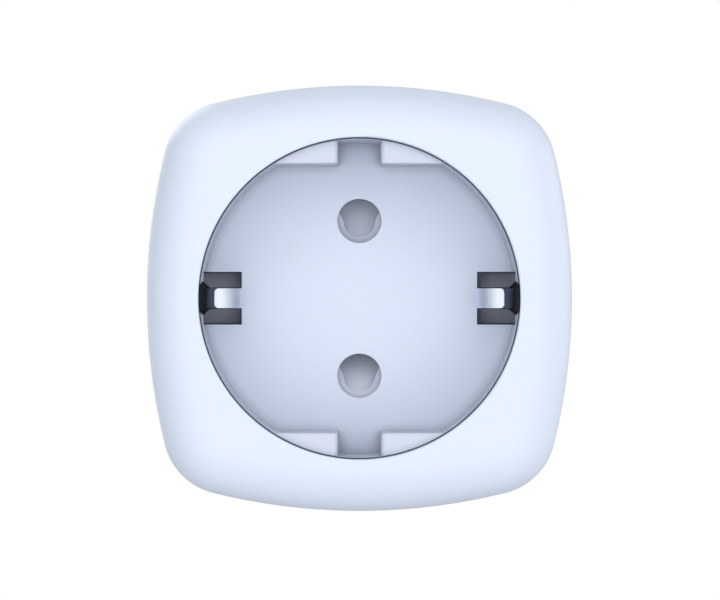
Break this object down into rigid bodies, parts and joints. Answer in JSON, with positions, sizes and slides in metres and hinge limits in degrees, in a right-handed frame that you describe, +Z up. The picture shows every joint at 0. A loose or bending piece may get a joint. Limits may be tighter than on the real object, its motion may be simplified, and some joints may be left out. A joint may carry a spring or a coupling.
{
  "type": "plug in power meter",
  "caption": "Compact plug-through power meter: rounded square case with a recessed two-pole socket with side earth clips on its front and a round two-pin plug on its back.",
  "frame": {"origin": "centre of the plug's end face, which meets the floor of a wall socket", "axes": "+Y along the plug pins into the wall, +Z up, the front socket faces -Y"},
  "size_m": [0.052, 0.0785, 0.052],
  "materials": {
    "case_plastic": "satin moulded polycarbonate, cool white",
    "socket_plastic": "satin moulded polycarbonate, cool white",
    "button_plastic": "satin moulded plastic, cool white",
    "light_pipe": "frosted clear polycarbonate",
    "shutter_plastic": "fine matt moulded plastic, pale grey",
    "carrier_plastic": "matt glass-filled plastic, dark grey",
    "black_plastic": "moulded epoxy, near black",
    "spring_steel": "drawn spring wire",
    "contact_bronze": "rolled phosphor bronze",
    "nickel_plate": "satin nickel plate on brass",
    "pin_nickel": "turned brass with bright nickel plate",
    "screw_steel": "zinc-plated steel",
    "board_green": "green solder mask on glass fibre",
    "manganin": "rolled manganin strip",
    "tinned_copper": "tinned copper",
    "capacitor_sleeve": "dark shrink sleeve",
    "capacitor_yellow": "moulded film capacitor case",
    "varistor_blue": "dipped epoxy",
    "ferrite": "sintered ferrite",
    "copper_wire": "enamelled copper winding",
    "fuse_body": "moulded fuse body",
    "shield_metal": "tinned steel shield",
    "led_resin": "clear diode resin",
    "relay_plastic": "moulded relay cover",
    "bobbin_plastic": "natural nylon",
    "soft_iron": "plated soft iron"
  },
  "bodies": {
    "housing": {"front_cover": "case_plastic", "socket_insert": "socket_plastic", "socket_floor": "socket_plastic", "rear_housing": "case_plastic", "light_pipe": "light_pipe", "shutter_spring": "spring_steel", "contact_carrier": "carrier_plastic", "socket_contact_upper": "contact_bronze", "socket_contact_lower": "contact_bronze", "earth_strap": "nickel_plate", "plug_earth_strip_left": "nickel_plate", "plug_earth_strip_right": "nickel_plate", "earth_pin_sleeve": "nickel_plate", "plug_pin_upper": "pin_nickel", "plug_pin_lower": "pin_nickel", "case_screws": "screw_steel", "main_board": "board_green", "control_board": "board_green", "board_header": "black_plastic", "current_shunt": "manganin", "live_busbar": "tinned_copper", "metering_chip": "black_plastic", "bridge_rectifier": "black_plastic", "bulk_capacitor_1": "capacitor_sleeve", "bulk_capacitor_2": "capacitor_sleeve", "mains_capacitor": "capacitor_yellow", "surge_varistor": "varistor_blue", "filter_inductor": "ferrite", "inductor_winding": "copper_wire", "mains_fuse": "fuse_body", "radio_module": "shield_metal", "tact_switch": "black_plastic", "status_led": "led_resin", "relay_base": "black_plastic", "relay_case": "relay_plastic", "relay_yoke": "soft_iron", "relay_bobbin": "bobbin_plastic", "relay_coil": "copper_wire", "fixed_contact": "contact_bronze"},
    "button": {"button_cap": "button_plastic"},
    "plunger": {"tact_plunger": "shutter_plastic"},
    "shutter": {"shutter": "shutter_plastic"},
    "earth_clip_left": {"earth_clip_left": "nickel_plate"},
    "earth_clip_right": {"earth_clip_right": "nickel_plate"},
    "armature": {"relay_armature": "soft_iron", "moving_contact": "contact_bronze"}
  },
  "joints": [
    {"name": "button_press", "type": "slide", "parent": "housing", "child": "button", "axis": [0, 0, -1], "range_m": [0, 0.00025], "stiffness_N_per_m": 400},
    {"name": "plunger_press", "type": "slide", "parent": "housing", "child": "plunger", "axis": [0, 0, -1], "range_m": [0, 0.00025]},
    {"name": "shutter_slide", "type": "slide", "parent": "housing", "child": "shutter", "axis": [0, 0, -1], "range_m": [0, 0.0058], "stiffness_N_per_m": 120, "springref_m": -0.002, "deforming": ["shutter_spring"]},
    {"name": "earth_clip_left_flex", "type": "hinge", "parent": "housing", "child": "earth_clip_left", "pos_m": [-0.0184, -0.0339, 0], "axis": [0, 0, -1], "range_deg": [0, 9], "stiffness_Nm_per_rad": 0.6},
    {"name": "earth_clip_right_flex", "type": "hinge", "parent": "housing", "child": "earth_clip_right", "pos_m": [0.0184, -0.0339, 0], "axis": [0, 0, 1], "range_deg": [0, 9], "stiffness_Nm_per_rad": 0.6},
    {"name": "relay_armature_pull", "type": "hinge", "parent": "housing", "child": "armature", "pos_m": [-0.0127, -0.00695, 0], "axis": [0, 0, -1], "range_deg": [0, 3], "stiffness_Nm_per_rad": 0.02}
  ],
  "couplings": [
    {"joint": "plunger_press", "follows": "button_press", "ratio": 1}
  ]
}
